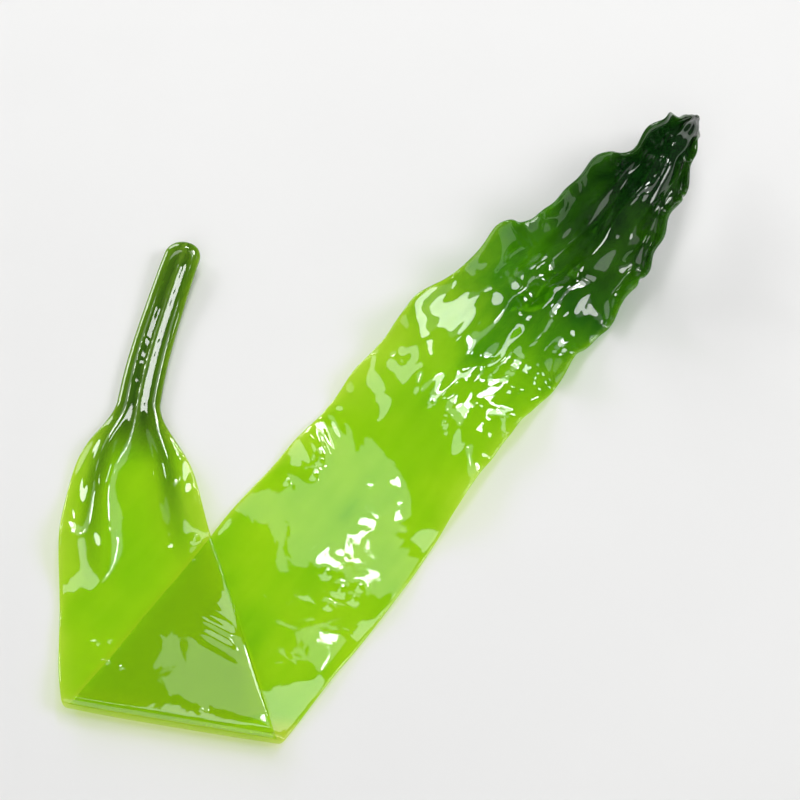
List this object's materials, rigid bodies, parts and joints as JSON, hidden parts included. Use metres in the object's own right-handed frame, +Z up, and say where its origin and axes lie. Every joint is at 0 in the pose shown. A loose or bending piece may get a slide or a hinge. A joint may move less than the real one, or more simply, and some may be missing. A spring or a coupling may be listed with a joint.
{
  "type": "rehydrated kelp sprout",
  "caption": "Soaked kelp sprout: a thin translucent green blade folded once near its base, with a ruffled tip and a flattened olive stipe.",
  "frame": {"origin": "on the surface that the sprout lies on, under the middle of its bounding box", "axes": "+Y along the lower layer of the blade, from the fold to the tip; +Z up; the stipe lies on the -X side"},
  "size_m": [0.072, 0.1508, 0.0188],
  "materials": {
    "blade_green": "wet, glossy and translucent, lime green that deepens to dark green at the tip",
    "stipe_olive": "wet, smooth olive green with a paler channel between two rounded rails"
  },
  "bodies": {
    "root": {"blade": "blade_green", "stipe": "stipe_olive"}
  },
  "joints": []
}
